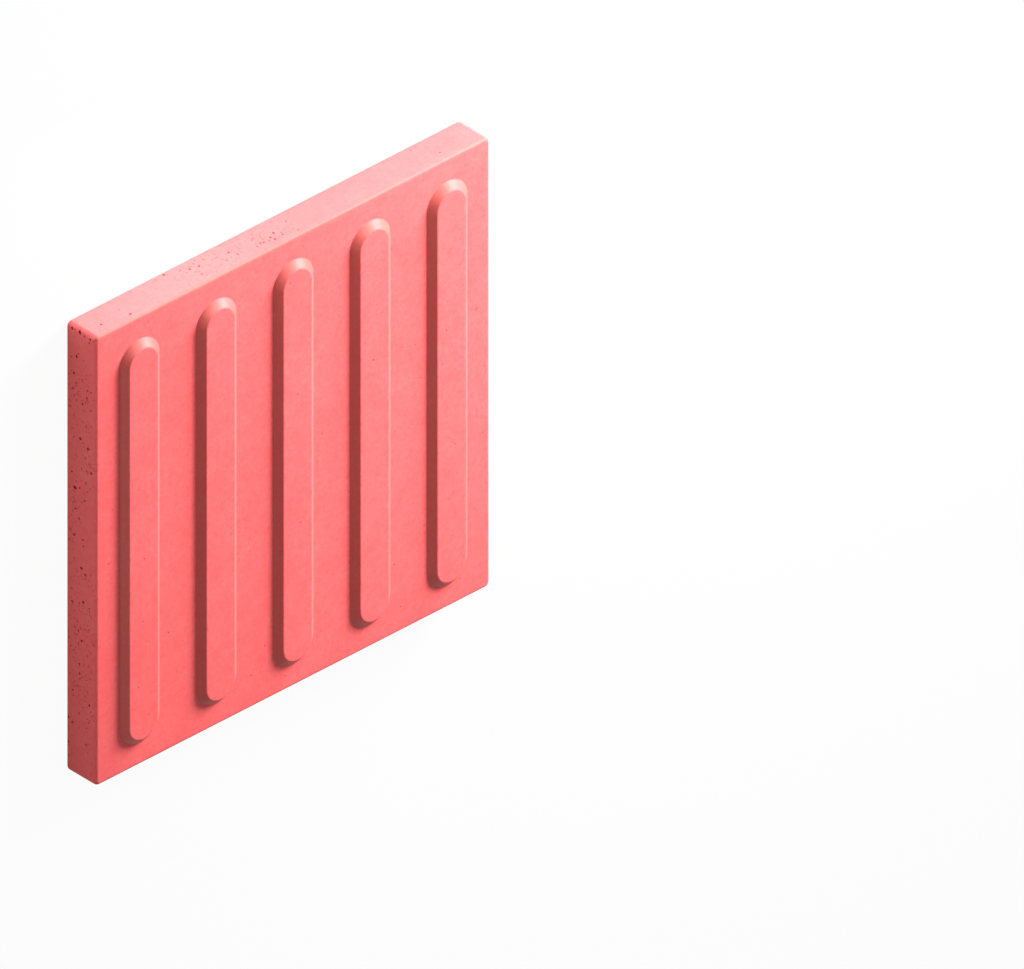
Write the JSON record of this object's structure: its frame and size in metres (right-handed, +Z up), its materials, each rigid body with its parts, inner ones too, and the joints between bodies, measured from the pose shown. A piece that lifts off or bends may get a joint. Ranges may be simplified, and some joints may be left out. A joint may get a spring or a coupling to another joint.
{
  "type": "tactile paving slab",
  "caption": "Square cast concrete paving slab with raised flat-topped round-ended bars on its walking face, guiding people by foot or cane along a path.",
  "frame": {"origin": "middle of the underside, where the slab rests on its bed", "axes": "+Z up out of the walking face, +Y along the bars, +X across them"},
  "size_m": [0.4, 0.4, 0.0375],
  "materials": {
    "red_concrete": "matte"
  },
  "bodies": {
    "root": {"tactile_slab": "red_concrete"}
  },
  "joints": []
}
